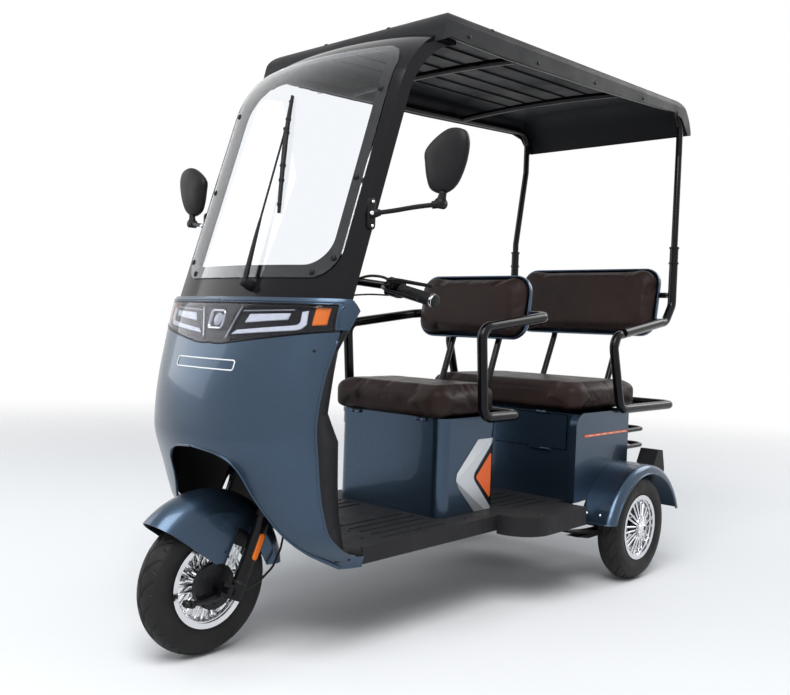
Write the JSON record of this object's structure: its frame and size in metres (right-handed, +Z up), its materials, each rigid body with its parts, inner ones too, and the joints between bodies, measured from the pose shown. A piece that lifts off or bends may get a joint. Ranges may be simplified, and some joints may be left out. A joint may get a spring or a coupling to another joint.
{
  "type": "electric passenger tricycle with canopy",
  "caption": "Open electric tricycle with a steered front wheel, driver's seat and rear bench over storage boxes, curved windshield and full canopy.",
  "frame": {"origin": "middle of the bounding box on the ground", "axes": "+X to the vehicle's left, +Y to its rear, +Z up"},
  "size_m": [1.175, 2.1699, 1.7789],
  "materials": {
    "body_blue": "metallic slate blue lacquer",
    "frame_black": "satin black powder coat",
    "floor_black": "ribbed matt black moulding",
    "trim_black": "matt black moulding",
    "gloss_black": "gloss black moulding",
    "roof_black": "fine grained black moulding",
    "lamp_glass": "smoked clear cover",
    "lamp_dark": "dark reflector housing",
    "clear_screen": "clear moulded screen",
    "axle_iron": "black painted castings",
    "seat_leather": "dark brown artificial leather",
    "grip_rubber": "moulded rubber",
    "cable_black": "black cable sheath",
    "tyre_rubber": "black tyre rubber",
    "alloy": "bright cast alloy"
  },
  "bodies": {
    "chassis": {"frame": "frame_black", "floor_pan": "floor_black", "front_fairing": "body_blue", "leg_shield": "trim_black", "lamp_lens": "lamp_glass", "lamp_housing": "lamp_dark", "brow": "body_blue", "windshield_frame": "gloss_black", "windshield": "clear_screen", "wiper": "trim_black", "mirror_left": "trim_black", "mirror_right": "trim_black", "roof": "roof_black", "roof_bars": "frame_black", "roof_post_left": "frame_black", "roof_post_right": "frame_black", "front_box": "body_blue", "battery": "trim_black", "rear_box": "body_blue", "front_armrest_left": "frame_black", "front_armrest_right": "frame_black", "rear_armrest_left": "frame_black", "rear_armrest_right": "frame_black", "front_backrest": "seat_leather", "rear_backrest": "seat_leather", "backrest_struts": "frame_black", "rear_rack": "frame_black", "rear_fender_left": "body_blue", "rear_fender_right": "body_blue", "tail_lamps": "trim_black", "rear_axle": "axle_iron", "leaf_springs": "axle_iron"},
    "steering": {"fork": "frame_black", "front_fender": "body_blue", "handlebar": "frame_black", "grips": "grip_rubber", "front_brake": "axle_iron", "brake_cable": "cable_black"},
    "front_wheel": {"front_tyre": "tyre_rubber", "front_rim": "alloy"},
    "rear_wheel_left": {"rear_tyre_left": "tyre_rubber", "rear_rim_left": "alloy"},
    "rear_wheel_right": {"rear_tyre_right": "tyre_rubber", "rear_rim_right": "alloy"},
    "front_lid": {"front_seat": "seat_leather"},
    "rear_lid": {"rear_seat": "seat_leather"},
    "flap": {"storage_flap": "body_blue"}
  },
  "joints": [
    {"name": "steering_turn", "type": "hinge", "parent": "chassis", "child": "steering", "pos_m": [0, -0.62828, 0.63948], "axis": [0, 0.4067, 0.9135], "range_deg": [-38, 38]},
    {"name": "front_wheel_spin", "type": "hinge", "parent": "steering", "child": "front_wheel", "pos_m": [0, -0.9, 0.185], "axis": [1, 0, 0], "continuous": true},
    {"name": "rear_wheel_left_spin", "type": "hinge", "parent": "chassis", "child": "rear_wheel_left", "pos_m": [0.4215, 0.627, 0.185], "axis": [1, 0, 0], "continuous": true},
    {"name": "rear_wheel_right_spin", "type": "hinge", "parent": "chassis", "child": "rear_wheel_right", "pos_m": [-0.4215, 0.627, 0.185], "axis": [1, 0, 0], "continuous": true},
    {"name": "front_lid_hinge", "type": "hinge", "parent": "chassis", "child": "front_lid", "pos_m": [0, -0.214, 0.594], "axis": [1, 0, 0], "range_deg": [0, 60]},
    {"name": "rear_lid_hinge", "type": "hinge", "parent": "chassis", "child": "rear_lid", "pos_m": [0, 0.366, 0.594], "axis": [1, 0, 0], "range_deg": [0, 60]},
    {"name": "flap_hinge", "type": "hinge", "parent": "chassis", "child": "flap", "pos_m": [0, 0.365, 0.456], "axis": [1, 0, 0], "range_deg": [0, 90]}
  ]
}
